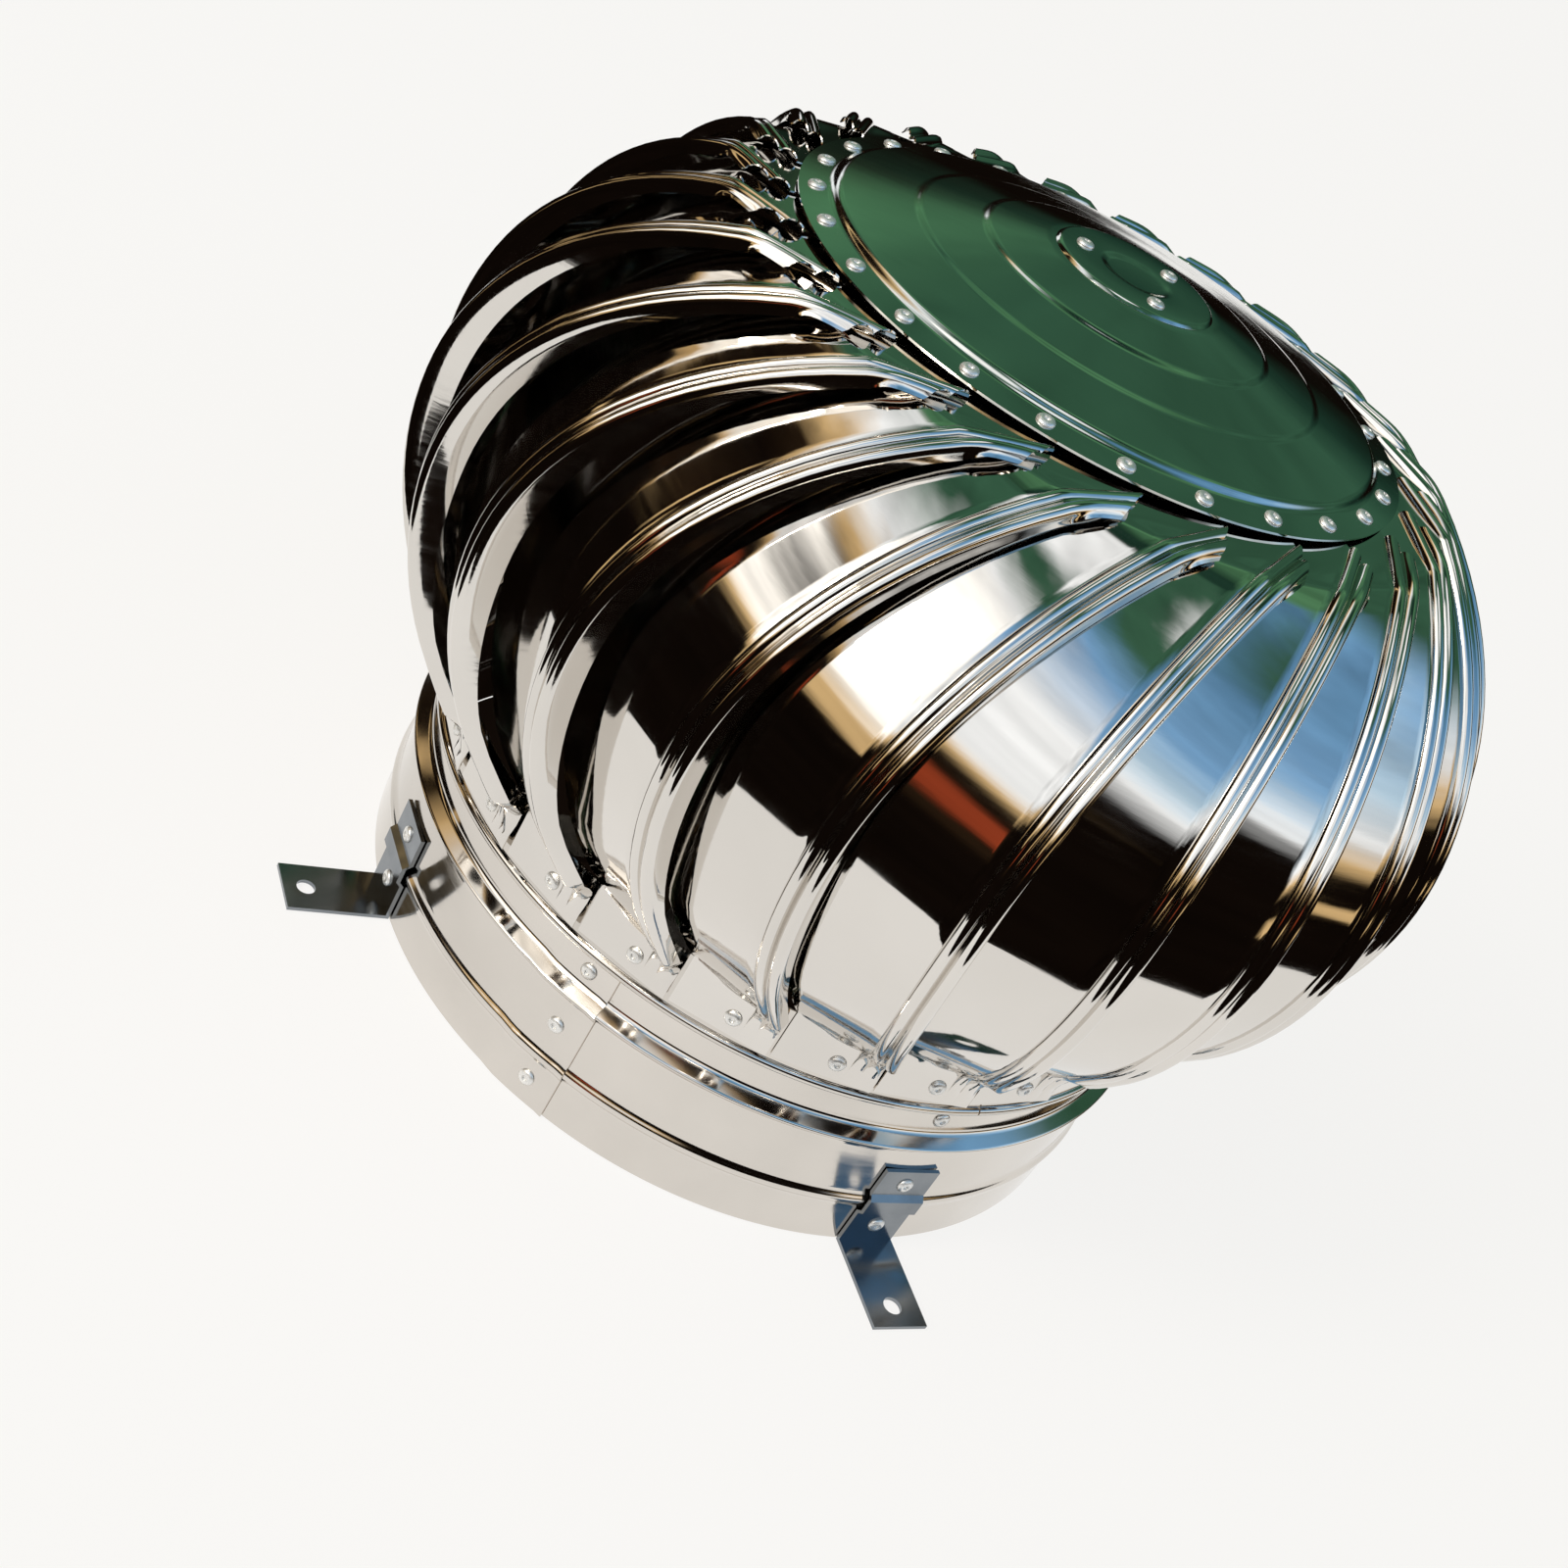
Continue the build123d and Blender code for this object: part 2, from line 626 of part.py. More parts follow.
def blade():
    """One blade as a folded sheet: its ridge is cut off at the crown, and its panel goes on under it."""
    ridged = [
        tab_section(tab_radius(), RING_BOTTOM_Z + TAB_SETBACK, 0.0, 0.0),
        tab_section(tab_radius(), FOLD_Z - TAB_KNEE_DROP, 0.8, 0.0),
        tab_section(FOLD_RADIUS, FOLD_Z, 1.0, LIP_DROP / 2),
    ]
    ridged += [belly_section(station) for station in BELLY_STATIONS]
    ridged.append(flap_section(RIDGE_END_RADIUS))
    inner = flap_section(CROWN_RADIUS - FLAP_INSET)
    flap = [section[:2] + section[-2:] for section in (ridged[-1], inner)]
    cut = ridged[-1][1:-1]
    faces = joined(ridged) + joined(flap)
    for section in (ridged[0], cut, flap[-1]):
        faces += end_facets(section)
    return Solid(Shell(faces))


def ring_rivets():
    """Rivet heads on the blade tabs, beside the lower end of each ridge."""
    half = math.radians(TAB_SPAN / 2)
    aside = half - math.radians(RING_RIVET_STEP_BACK)
    seat = tab_radius() * math.cos(half) / math.cos(aside) + SEAT_GAP
    heads = []
    for index in range(BLADE_COUNT):
        foot = FIRST_BLADE_AZIMUTH + ring_twist() + index * PITCH
        direction = polar(1, foot - TAB_SPAN / 2, 0)
        place = polar(seat, foot - RING_RIVET_STEP_BACK, RING_BOTTOM_Z + RING_RIVET_HEIGHT)
        heads.append(rivet_head(place, direction))
    return Compound(heads)


nodes = {
    "base_collar": base_collar(),
    "collar_seam_rivets": seam_rivets(),
    "strap_rivets": strap_rivets(),
    "lower_cross_bar": lower_cross_bar(),
    "upper_cross_bar": upper_cross_bar(),
    "cross_bar_rivets": cross_bar_rivets(),
    "spindle": spindle(),
    "spindle_nuts": spindle_nuts(),
    "bearing_inner_races": bearing_inner_races(),
    "bearing_outer_races": bearing_outer_races(),
    "upper_bearing_housing": upper_bearing_housing(),
    "rotor_ring": rotor_ring(),
    "rotor_spider": rotor_spider(),
    "spider_rivets": spider_rivets(),
    "ring_rivets": ring_rivets(),
    "crown_plate": crown_plate(),
    "crown_rivets": crown_rivets(),
    "hub_plate": hub_plate(),
    "hub_rivets": hub_rivets(),
}

for number, azimuth in enumerate(strap_azimuths(), start=1):
    nodes[f"mounting_strap_{number}"] = mounting_strap(azimuth)

first_blade = around(blade(), FIRST_BLADE_AZIMUTH)
for index in range(BLADE_COUNT):
    nodes[f"blade_{index + 1:02d}"] = around(first_blade, index * PITCH)

os.makedirs("parts", exist_ok=True)
for name, shape in nodes.items():
    export_step(shape, f"parts/{name}.step")
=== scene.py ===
import math

import bpy
from mathutils import Matrix, Vector


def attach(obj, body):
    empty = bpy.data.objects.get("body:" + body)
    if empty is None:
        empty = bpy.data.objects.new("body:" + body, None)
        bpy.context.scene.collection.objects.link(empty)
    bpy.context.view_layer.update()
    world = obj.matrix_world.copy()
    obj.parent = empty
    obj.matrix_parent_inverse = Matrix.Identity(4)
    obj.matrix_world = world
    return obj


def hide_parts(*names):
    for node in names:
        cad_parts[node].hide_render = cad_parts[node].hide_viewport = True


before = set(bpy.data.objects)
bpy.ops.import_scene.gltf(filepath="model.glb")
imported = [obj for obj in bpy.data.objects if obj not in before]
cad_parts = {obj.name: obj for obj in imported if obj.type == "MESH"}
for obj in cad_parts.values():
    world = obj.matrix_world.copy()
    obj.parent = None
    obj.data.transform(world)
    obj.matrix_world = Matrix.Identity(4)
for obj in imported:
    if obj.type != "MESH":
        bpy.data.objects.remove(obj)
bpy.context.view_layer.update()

# Roof turbine ventilator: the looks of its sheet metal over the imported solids

# Lengths are in millimetres, as in the part's source, and become metres where a mesh is made, apart from
# those whose comment says metres. Azimuths and spans are in degrees

MM = 0.001

# Neck
NECK_RADIUS = 150.0
NECK_SHEET = 0.8
LOWER_BEAD_Z = 21.5
LOWER_BEAD_RISE = 2.0
UPPER_BEAD_Z = 52.0
UPPER_BEAD_RISE = 3.8
BEAD_HALF_WIDTH = 3.2
BEAD_BEND = 1.7
TOP_BAND_RADIUS = 147.2
NECK_HEIGHT = 78.0
SEAM_AZIMUTH = 266.6
SEAM_LAP = 8.4
SEAM_CLIMB = 3.0
SEAM_SINK = 0.02
SEAM_FREE_EDGE = 1.3
SEAM_LIFT = 0.5
SEAM_RIVET_TWIST = 4.2
SEAM_RIVET_HEIGHTS = (10.0, 36.7, 61.5)

# Strap feet and cross bars
STRAP_EDGE = 0.25
STRAP_AZIMUTHS = (45.0, 135.0, 225.0, 315.0)
STRAP_RIVET_RADIUS = 151.6
STRAP_RIVET_HEIGHTS = (10.0, 32.0)
BAR_RIVET_AZIMUTHS = (135.0, 315.0)
BAR_RIVET_Z = 62.0

# Turning ring
RING_RADIUS = 149.0
RING_SHEET = 0.6
RING_BOTTOM_Z = 67.6
RING_TOP_Z = 93.4
WIRE_DIAMETER = 3.4
ROLL_GAP = 0.2
ROLL_ANGLES = range(80, -100, -15)
RING_JOINT_AZIMUTH = 318.8
RING_JOINT_GAP = 0.24

# Crown and hub
CROWN_RADIUS = 112.0
CROWN_SHEET = 0.8
CROWN_EDGE_Z = 289.2
CROWN_SLOPE = 0.188
CROWN_STEPS = ((101.5, 2.2), (75.0, 0.8), (53.0, 1.2))
CROWN_STEP_WIDTH = 2.0
CROWN_BEND = 2.2
CROWN_FLAT_RADIUS = 30.5
CROWN_RIVET_CIRCLE = 106.0
CROWN_RIVET_TWIST = 27.3
HUB_PLATE_RADIUS = 29.0
HUB_PLATE_THICKNESS = 1.2
HUB_SHEET = 0.45
HUB_BEND = 0.9
HUB_DIMPLE_RADII = (13.0, 10.5)
HUB_DIMPLE_DEPTH = 0.7
HUB_RIVET_CIRCLE = 19.3
HUB_RIVET_AZIMUTHS = (66.8, 186.8, 306.8)

# Blades
BLADE_COUNT = 25
BLADE_SHEET = 0.5
FIRST_BLADE_AZIMUTH = 3.5
BELLY_RADIUS = 192.5
BELLY_Z = 181.6
BELLY_TOP_RADIUS = 131.5
BELLY_TOP_Z = 284.4
UPPER_RIDGE_PLANE = 100.0
LOWER_RIDGE_PLANE = 74.0
LOUVRE_DEPTH = 15.0
LOUVRE_TOP_LEAK = 6.0
RIDGE_END_RADIUS = 113.5
RIDGE_END_SLANT = 1.3
LIP_REACH = 11.0
LIP_DROP = 7.5
LIP_SHARES = (0.4, 0.75, 1.0)
END_LIP_LIFT = 0.8
TAB_BOTTOM_Z = 73.5
FOLD_Z = 94.5
FOLD_RADIUS = 156.5
TAB_SPAN = 9.6
FLAP_SPAN = 14.9
FLAP_RADII = (109.0, 104.0, 99.5)
SHINGLE_STEP = 1.1
FLAP_GAP = 0.95
SEAT_GAP = 0.05
PITCH = 360.0 / BLADE_COUNT
TAB_RADIUS = (RING_RADIUS + SEAT_GAP + BLADE_SHEET) / math.cos(math.radians(TAB_SPAN / 2))
RING_RIVET_Z = 80.5
RING_RIVET_STEP_BACK = 1.6
PANEL_POINTS = 12
BELLY_STEPS = 34
FLAP_STEPS = 4
FOLD_BLEND_STEPS = 4
TANGENT_STEP = 0.001

# Beads side by side on a ridge: distance from its foot, half width, height, and the range of their arcs
RIDGE_BEADS = ((2.6, 2.3, 2.7, 0, 168), (7.5, 2.7, 3.9, 14, 160))
RIDGE_ANGLE_STEP = 14

# How a tab swells towards its fold: height, way out from the ring, and its shares of the drop of the lip
# and of the height of the ridge
TAB_ROWS = (
    (TAB_BOTTOM_Z, 0.0, 0.0, 0.0), (79.0, 0.0, 0.0, 0.05), (84.5, 0.1, 0.15, 0.55), (89.5, 0.9, 0.3, 0.9),
    (92.6, 3.824, 0.4, 1.0),
)
FOLD_LIP_SHARE = 0.45

FOLD_ANGLE = math.acos(FOLD_RADIUS / BELLY_RADIUS)
BELLY_DROP = (BELLY_Z - FOLD_Z) / math.sin(FOLD_ANGLE)
BELLY_TOP_ANGLE = math.acos(BELLY_TOP_RADIUS / BELLY_RADIUS)
BELLY_RISE = (BELLY_TOP_Z - BELLY_Z) / math.sin(BELLY_TOP_ANGLE)

# Rivet heads, with an outline of (share of the radius, height) from the rim to the hole in the middle
RIVET_RADIUS = 3.1
RIVET_OUTLINE = (
    (1.0, 0.0), (1.0, 0.3), (0.9, 0.75), (0.7, 1.1), (0.45, 1.3), (0.36, 1.22), (0.32, 0.6), (0.1, 0.62),
)
RIVET_SEGMENTS = 20


def polar(radius, azimuth, z):
    """The point at a radius from the axis, an azimuth and a height."""
    angle = math.radians(azimuth)
    return Vector((radius * math.cos(angle), radius * math.sin(angle), z))


def turned(points, azimuth):
    turn = Matrix.Rotation(math.radians(azimuth), 3, "Z")
    return [turn @ point for point in points]


# Meshes

LARGEST_BEND = 0.45
CENTRE_RADIUS = 0.01


def piece_from(name, corners, faces, sharp=35.0):
    """A smooth mesh object from corners in millimetres, with creases where it bends sharply."""
    mesh = bpy.data.meshes.new(name)
    mesh.from_pydata([point * MM for point in corners], [], faces)
    mesh.update()
    mesh.shade_smooth()
    mesh.set_sharp_from_angle(angle=math.radians(sharp))
    piece = bpy.data.objects.new(name, mesh)
    bpy.context.scene.collection.objects.link(piece)
    return piece


def grid(rows, closed=False):
    """Corners and faces of rows of points, as wide between two rows as the narrower one."""
    corners = [point for row in rows for point in row]
    starts = [0]
    for row in rows:
        starts.append(starts[-1] + len(row))
    faces = []
    for index in range(len(rows) if closed else len(rows) - 1):
        after = (index + 1) % len(rows)
        here, there = starts[index], starts[after]
        for j in range(min(len(rows[index]), len(rows[after])) - 1):
            faces.append((here + j, here + j + 1, there + j + 1, there + j))
    return corners, faces


def sheet(rows, thickness, closed=False):
    """Corners and faces of a sheet: a grid, its other side, and the edges between the two."""
    corners, faces = grid(rows, closed)
    normals = [Vector() for _ in corners]
    for face in faces:
        a, b, c, d = [corners[index] for index in face]
        for index in face:
            normals[index] += (c - a).cross(d - b).normalized()
    under = len(corners)
    corners += [point - normal.normalized() * thickness for point, normal in zip(corners, normals)]
    edges = {(face[index - 1], face[index]) for face in faces for index in range(4)}
    sides = [(b, a, under + a, under + b) for a, b in sorted(edges) if (b, a) not in edges]
    undersides = [tuple(under + index for index in reversed(face)) for face in faces]
    return corners, faces + undersides + sides


def join_meshes(parts):
    """One list of corners and faces from several."""
    corners = []
    faces = []
    for part_corners, part_faces in parts:
        start = len(corners)
        corners += part_corners
        faces += [tuple(start + index for index in face) for face in part_faces]
    return corners, faces


def lathe(outline, segments=240, start=0.0, arc=360.0):
    """Rows of points for a ring: an outline of (radius, height) points at each step round the axis."""
    full = arc >= 360.0
    steps = segments if full else segments + 1
    rows = []
    for index in range(steps):
        azimuth = start + arc * index / segments
        rows.append([polar(radius, azimuth, z) for radius, z in outline])
    return rows


def rounded(outline, radius, steps=5):
    """An outline of (across, up) points with its bends rounded, by a share of each side at most."""
    points = [Vector(point) for point in outline]
    result = [points[0]]
    for before, corner, after in zip(points, points[1:], points[2:]):
        back = before - corner
        ahead = after - corner
        reach = min(radius, LARGEST_BEND * back.length, LARGEST_BEND * ahead.length)
        first = corner + back.normalized() * reach
        last = corner + ahead.normalized() * reach
        for step in range(steps + 1):
            share = step / steps
            bend = first * (1 - share) ** 2 + corner * (2 * share * (1 - share)) + last * share**2
            result.append(bend)
    result.append(points[-1])
    return [(point.x, point.y) for point in result]


def rivet(place, direction, twist=0.0):
    """Corners and faces of a blind rivet's domed head, with the hole that its mandrel leaves."""
    z_axis = direction.normalized()
    x_axis = z_axis.orthogonal().normalized()
    y_axis = z_axis.cross(x_axis)
    corners = []
    for index in range(RIVET_SEGMENTS):
        angle = twist + 2 * math.pi * index / RIVET_SEGMENTS
        spoke = x_axis * math.cos(angle) + y_axis * math.sin(angle)
        for share, height in RIVET_OUTLINE:
            corners.append(place + spoke * (RIVET_RADIUS * share) + z_axis * height)
    width = len(RIVET_OUTLINE)
    faces = []
    for i in range(RIVET_SEGMENTS):
        here = i * width
        there = (i + 1) % RIVET_SEGMENTS * width
        for j in range(width - 1):
            faces.append((here + j, there + j, there + j + 1, here + j + 1))
    faces.append(tuple(i * width + width - 1 for i in range(RIVET_SEGMENTS)))
    faces.append(tuple(i * width for i in reversed(range(RIVET_SEGMENTS))))
    return corners, faces


# Blade form

# Stations along a blade hold the foot of its ridge, the panel's other edge, the ways aside and outward,
# and how far the lip at the end of the ridge drops


def ridge_twist(radius, plane):
    """Azimuth that a ridge has gained at a radius when it runs in an upright plane off the axis."""
    return math.degrees(math.acos(plane / BELLY_RADIUS) - math.acos(plane / radius))


def belly_foot(turn):
    rising = turn > 0
    radius = BELLY_RADIUS * math.cos(turn)
    height = BELLY_RISE if rising else BELLY_DROP
    twist = ridge_twist(radius, UPPER_RIDGE_PLANE if rising else LOWER_RIDGE_PLANE)
    return radius, twist, BELLY_Z + height * math.sin(turn)


def belly_station(turn):
    """Station at an angle up or down from the widest place of the belly."""
    rising = turn > 0
    end_span = FLAP_SPAN if rising else TAB_SPAN
    closed = BELLY_TOP_ANGLE + math.radians(LOUVRE_TOP_LEAK) if rising else FOLD_ANGLE
    radius, twist, z = belly_foot(turn)
    share = math.cos(math.pi / 2 * min(abs(turn / closed), 1.0))
    depth = SHINGLE_STEP + (LOUVRE_DEPTH - SHINGLE_STEP) * share
    span = end_span + (PITCH - end_span) * share
    steep = math.sin(turn) / (BELLY_RISE if rising else BELLY_DROP)
    level = math.cos(turn) / BELLY_RADIUS
    outward = polar(level, twist, steep).normalized()
    along = polar(*belly_foot(turn + TANGENT_STEP)) - polar(*belly_foot(turn - TANGENT_STEP))
    left = polar(radius, twist - span, z) - polar(level, twist - span, steep).normalized() * depth
    return polar(radius, twist, z), left, along.cross(outward).normalized(), outward, LIP_DROP * share**2


def flap_foot(radius):
    z = CROWN_EDGE_Z - CROWN_SHEET - FLAP_GAP + (CROWN_RADIUS - radius) * CROWN_SLOPE
    return radius, ridge_twist(max(radius, RIDGE_END_RADIUS), UPPER_RIDGE_PLANE), z


def flap_station(radius):
    """Station where the blade flattens out to pass under the crown."""
    slope = math.atan(CROWN_SLOPE)
    radius, twist, z = flap_foot(radius)
    outward = polar(math.sin(slope), twist, math.cos(slope))
    along = (polar(*flap_foot(RIDGE_END_RADIUS)) - polar(*flap_foot(BELLY_TOP_RADIUS))).normalized()
    share = (BELLY_TOP_RADIUS - radius) / (BELLY_TOP_RADIUS - RIDGE_END_RADIUS)
    aside = along.cross(outward).normalized() - along * RIDGE_END_SLANT * share
    left = polar(radius, twist - FLAP_SPAN, z - SHINGLE_STEP)
    return polar(radius, twist, z), left, aside, outward, -END_LIP_LIFT


def tab_station(radius, z, drop):
    twist = ridge_twist(FOLD_RADIUS, LOWER_RIDGE_PLANE)
    foot = polar(radius, twist, z)
    left = polar(TAB_RADIUS, twist - TAB_SPAN, z)
    return foot, left, (foot - left).normalized(), polar(1, twist - TAB_SPAN / 2, 0), drop


def curve(values, share):
    """A smooth curve between the middle two of four values."""
    p0, p1, p2, p3 = values
    return (
        p1 * 2
        + (p2 - p0) * share
        + (p0 * 2 - p1 * 5 + p2 * 4 - p3) * share**2
        + (p1 * 3 - p0 - p2 * 3 + p3) * share**3
    ) * 0.5


def through(stations, place):
    """A smooth curve through a list of stations, read at a place between 0 and their last number."""
    index = min(int(place), len(stations) - 2)
    around = [stations[min(max(index + step, 0), len(stations) - 1)] for step in (-1, 0, 1, 2)]
    return [curve(values, place - index) for values in zip(*around)]


def smoothstep(value):
    value = min(max(value, 0.0), 1.0)
    return value * value * (3 - 2 * value)


def ridge_line(rise, drop):
    """Height of the ridge across the blade: two rounded beads side by side, then the lip."""
    points = [(0.0, 0.0)]
    for place, half_width, height, first, end in RIDGE_BEADS:
        for degrees in range(first, end, RIDGE_ANGLE_STEP):
            angle = math.radians(degrees)
            points.append((place - half_width * math.cos(angle), height * math.sin(angle) * rise))
    shoulder = points[-1]
    tip = (LIP_REACH, -drop)
    for share in LIP_SHARES:
        points.append((
            shoulder[0] + (tip[0] - shoulder[0]) * share,
            shoulder[1] + (tip[1] - shoulder[1]) * share,
        ))
    return points


def across_points(station, rise=1.0):
    """Points across a blade at a station: its panel from edge to foot, then its ridge."""
    foot, left, aside, outward, drop = station
    panel = [left.lerp(foot, index / PANEL_POINTS) for index in range(PANEL_POINTS)]
    ridge = ridge_line(rise, drop)
    return panel + [foot + aside * reach + outward.normalized() * height for reach, height in ridge]


def blade_rows():
    """One blade from its tab up the belly to the slanting end of its ridge, and its flap beyond."""
    rows = []
    for z, way_out, lip_share, rise in TAB_ROWS:
        station = tab_station(TAB_RADIUS + way_out, z, LIP_DROP * lip_share)
        rows.append(across_points(station, rise))
    fold = tab_station(FOLD_RADIUS, FOLD_Z, LIP_DROP * FOLD_LIP_SHARE)
    stations = []
    for index in range(BELLY_STEPS + 1):
        turn = -FOLD_ANGLE + (BELLY_TOP_ANGLE + FOLD_ANGLE) * index / BELLY_STEPS
        share = smoothstep(index / FOLD_BLEND_STEPS)
        stations.append([a + (b - a) * share for a, b in zip(fold, belly_station(turn))])
    ridge_ends = ((BELLY_TOP_RADIUS + RIDGE_END_RADIUS) / 2, RIDGE_END_RADIUS)
    stations += [flap_station(radius) for radius in ridge_ends]
    places = [float(index) for index in range(BELLY_STEPS)]
    places += [BELLY_STEPS + index / FLAP_STEPS for index in range(len(ridge_ends) * FLAP_STEPS + 1)]
    rows += [across_points(through(stations, place)) for place in places]
    rows += [across_points(flap_station(radius))[:PANEL_POINTS + 1] for radius in FLAP_RADII]
    return rows


# Shader graphs


class Graph:
    """The shader graph of a material or of the world, with short ways to add and join its nodes."""

    def __init__(self, tree):
        self.tree = tree

    def feed(self, node, socket, value):
        """Give an input a plain value, or join it to another node's output."""
        if isinstance(value, bpy.types.NodeSocket):
            self.tree.links.new(value, node.inputs[socket])
        else:
            node.inputs[socket].default_value = value

    def add(self, kind, inputs=(), **settings):
        node = self.tree.nodes.new(kind)
        for key, value in settings.items():
            setattr(node, key, value)
        for socket, value in dict(inputs).items():
            self.feed(node, socket, value)
        return node

    def calc(self, operation, first, second=0.0):
        return self.add("ShaderNodeMath", {0: first, 1: second}, operation=operation).outputs[0]

    def vector(self, operation, inputs):
        return self.add("ShaderNodeVectorMath", inputs, operation=operation).outputs[0]

    def blend(self, share, first, second):
        mixed = self.add("ShaderNodeMix", {0: share, 6: first, 7: second}, data_type="RGBA")
        return mixed.outputs[2]

    def step(self, value, start, end):
        """From 0 to 1 as the value goes from start to end."""
        inputs = {"Value": value, "From Min": start, "From Max": end}
        return self.add("ShaderNodeMapRange", inputs, interpolation_type="SMOOTHSTEP").outputs[0]

    def ramp(self, value, stops):
        """Colour by value, from stops of (value, colour)."""
        node = self.add("ShaderNodeValToRGB", {0: value})
        elements = node.color_ramp.elements
        while len(elements) < len(stops):
            elements.new(0.5)
        for element, (place, colour) in zip(elements, stops):
            element.position = place
            element.color = (*colour, 1.0)
        return node.outputs[0]

    def noise(self, place, scale, detail):
        inputs = {"Vector": place, "Scale": scale, "Detail": detail}
        return self.add("ShaderNodeTexNoise", inputs).outputs[0]

    def rough(self, place, scale, detail, amount):
        """Noise around zero that mostly stays within the amount."""
        centred = self.calc("SUBTRACT", self.noise(place, scale, detail), 0.5)
        return self.calc("MULTIPLY", centred, 4 * amount)

    def bump(self, height, distance, strength, under=None):
        """A bumpy normal, over another one if under is given."""
        inputs = {"Height": height, "Distance": distance, "Strength": strength}
        if under:
            inputs["Normal"] = under
        return self.add("ShaderNodeBump", inputs).outputs[0]


# Materials

RANDOM_SHIFT = (3.1, 7.7, 5.3)
ROLLING_LINE_DEPTH = 0.012
CAST_GRAIN_DEPTH = 0.04


def new_metal(name, colour, roughness, metallic=1.0):
    """A metal with plain values on its shader's own sockets, and its graph and shader to refine them."""
    material = bpy.data.materials.new(name)
    material.use_nodes = True
    shader = material.node_tree.nodes["Principled BSDF"]
    shader.inputs["Base Color"].default_value = (*colour, 1.0)
    shader.inputs["Metallic"].default_value = metallic
    shader.inputs["Roughness"].default_value = roughness
    return material, Graph(material.node_tree), shader


def grey(value):
    return (value, value, value)


def sheet_metal(name, colour, shade, roughness, wave_size, wave_height, streak, streak_scale):
    """Bright rolled sheet: slight waves, fine rolling lines and smudges, which differ between pieces."""
    material, graph, shader = new_metal(name, colour, roughness)
    own_place = graph.add("ShaderNodeTexCoord").outputs["Object"]
    random = graph.add("ShaderNodeObjectInfo").outputs["Random"]
    shift = graph.vector("SCALE", {0: RANDOM_SHIFT, "Scale": random})
    place = graph.vector("ADD", {0: own_place, 1: shift})
    tone = graph.noise(place, 9.0, 4.0)
    graph.feed(shader, "Base Color", graph.ramp(tone, [(0.35, shade), (0.65, colour)]))

    smudge = graph.noise(place, 26.0, 6.0)
    stretched = graph.add("ShaderNodeMapping", {"Vector": place, "Scale": streak}).outputs[0]
    lines = graph.noise(stretched, streak_scale, 4.0)
    gloss_stops = [(0.12, grey(roughness * 0.55)), (0.5, grey(roughness * 2.4))]
    graph.feed(shader, "Roughness", graph.ramp(graph.calc("MULTIPLY", smudge, lines), gloss_stops))

    waves = graph.bump(graph.noise(place, 1 / wave_size, 1.0), wave_height, 1.0)
    graph.feed(shader, "Normal", graph.bump(lines, ROLLING_LINE_DEPTH * MM, 0.6, waves))
    return material


def plain_metal(name, colour, shade, roughness, scale, metallic=1.0):
    """Drawn or cast metal with uneven tone and gloss."""
    material, graph, shader = new_metal(name, colour, roughness, metallic)
    own_place = graph.add("ShaderNodeTexCoord").outputs["Object"]
    tone = graph.noise(own_place, scale, 5.0)
    gloss_stops = [(0.3, grey(roughness * 1.6)), (0.7, grey(roughness * 0.7))]
    graph.feed(shader, "Base Color", graph.ramp(tone, [(0.3, shade), (0.7, colour)]))
    graph.feed(shader, "Roughness", graph.ramp(tone, gloss_stops))
    graph.feed(shader, "Normal", graph.bump(tone, CAST_GRAIN_DEPTH * MM, 0.5))
    return material


# Sheets: colour, its shade, roughness, size and height of waves in metres, stretch and scale of fine lines
blade_metal = sheet_metal(
    "blade_metal", (0.75, 0.72, 0.68), (0.69, 0.66, 0.62), 0.045, 0.09, 0.0006, (1.0, 1.0, 14.0), 40.0,
)
crown_metal = sheet_metal(
    "crown_metal", (0.72, 0.72, 0.68), (0.66, 0.66, 0.62), 0.07, 0.06, 0.0004, (1.0, 6.0, 1.0), 60.0,
)
neck_metal = sheet_metal(
    "neck_metal", (0.74, 0.70, 0.65), (0.62, 0.585, 0.54), 0.085, 0.05, 0.0005, (1.0, 1.0, 10.0), 40.0,
)

# Other metals: colour, its shade, roughness and scale of the grain
bracket_metal = plain_metal("bracket_metal", (0.70, 0.70, 0.69), (0.60, 0.60, 0.60), 0.14, 60.0)
# The straps' metal is much darker than the sheets: partly a duller metal, partly painted shade
strap_metal = plain_metal("strap_metal", (0.27, 0.29, 0.31), (0.20, 0.22, 0.24), 0.16, 60.0)
rivet_metal = plain_metal("rivet_metal", (0.92, 0.91, 0.88), (0.80, 0.79, 0.77), 0.30, 300.0, 0.7)
spindle_metal = plain_metal("spindle_metal", (0.62, 0.62, 0.62), (0.50, 0.50, 0.50), 0.25, 80.0)
bearing_metal = plain_metal("bearing_metal", (0.75, 0.75, 0.75), (0.66, 0.66, 0.66), 0.18, 120.0)


def dress(piece, body, slot, material, *nodes):
    piece.data.materials.append(material)
    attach(piece, body)
    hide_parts(*nodes)


# Neck sheet, wrapped once round and lapped over itself at the seam


def neck_outline():
    low = LOWER_BEAD_Z - BEAD_HALF_WIDTH
    high = LOWER_BEAD_Z + BEAD_HALF_WIDTH
    outline = [(NECK_RADIUS, 0.0), (NECK_RADIUS, low)]
    outline += [(NECK_RADIUS + LOWER_BEAD_RISE, LOWER_BEAD_Z), (NECK_RADIUS, high)]
    outline += [(NECK_RADIUS, UPPER_BEAD_Z - BEAD_HALF_WIDTH)]
    outline += [(NECK_RADIUS + UPPER_BEAD_RISE, UPPER_BEAD_Z)]
    outline += [(TOP_BAND_RADIUS, UPPER_BEAD_Z + BEAD_HALF_WIDTH), (TOP_BAND_RADIUS, NECK_HEIGHT)]
    return rounded(outline, BEAD_BEND, 6)


